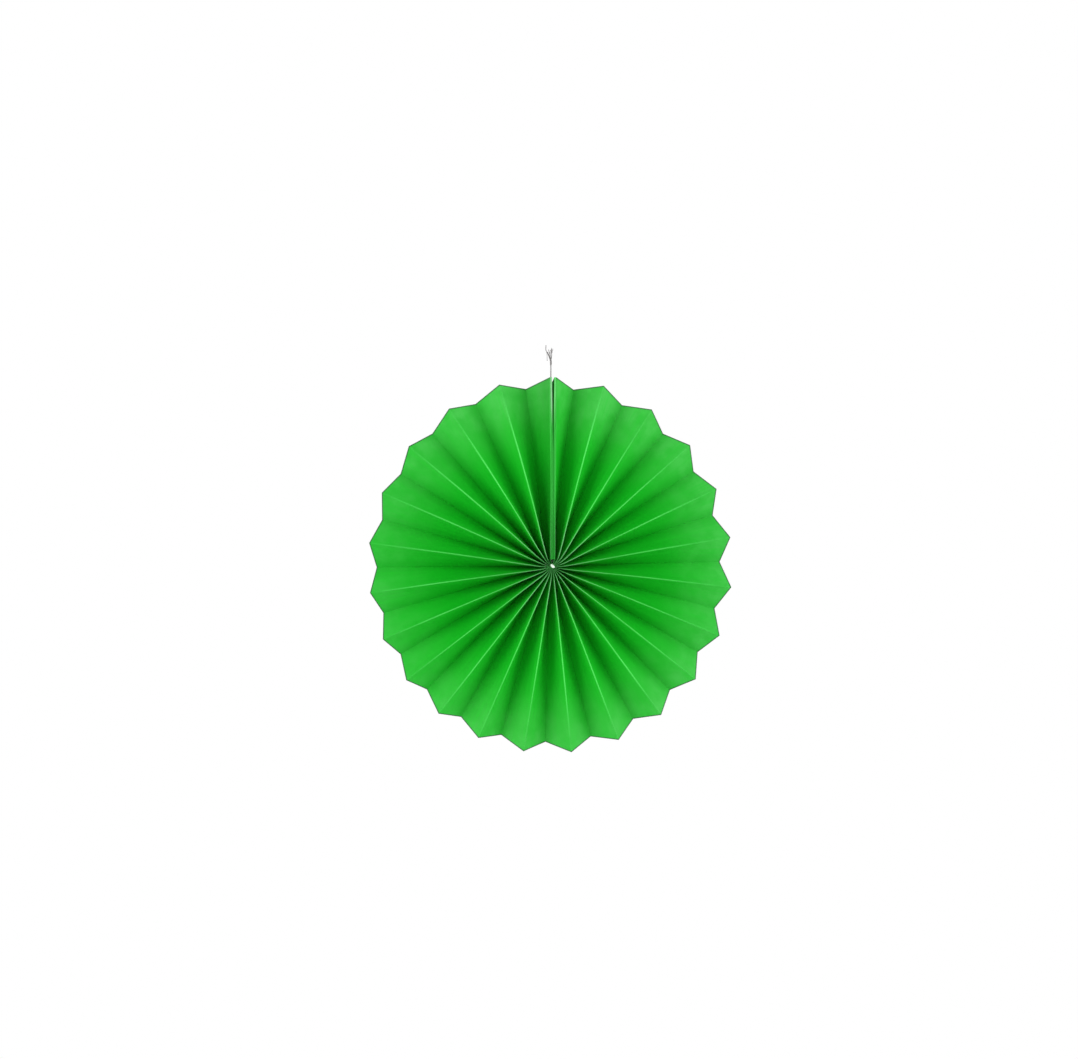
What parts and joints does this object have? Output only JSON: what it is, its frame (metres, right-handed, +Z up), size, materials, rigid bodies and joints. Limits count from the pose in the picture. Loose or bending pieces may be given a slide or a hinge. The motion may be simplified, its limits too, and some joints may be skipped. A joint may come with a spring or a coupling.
{
  "type": "paper fan rosette",
  "caption": "Hanging party rosette: one folded paper strip opened into a full disc, closed between two stiff boards, on a thread.",
  "frame": {"origin": "middle of the knot in the hanging thread, where the rosette is held", "axes": "+Z up along the hanging thread, the disc stands in the XZ plane and its front with the binding knot faces -Y"},
  "size_m": [0.2927, 0.0235, 0.3252],
  "materials": {
    "green_paper": "smooth coloured paper with a faint sheen",
    "green_card": "matt coloured card",
    "foam_tape": "matt double-sided tape",
    "white_thread": "twisted cotton thread"
  },
  "bodies": {
    "root": {"pleated_paper": "green_paper", "end_board_left": "green_card", "end_board_right": "green_card", "seam_tape": "foam_tape", "binding_thread": "white_thread", "hanging_thread": "white_thread", "hanging_knot": "white_thread"}
  },
  "joints": []
}
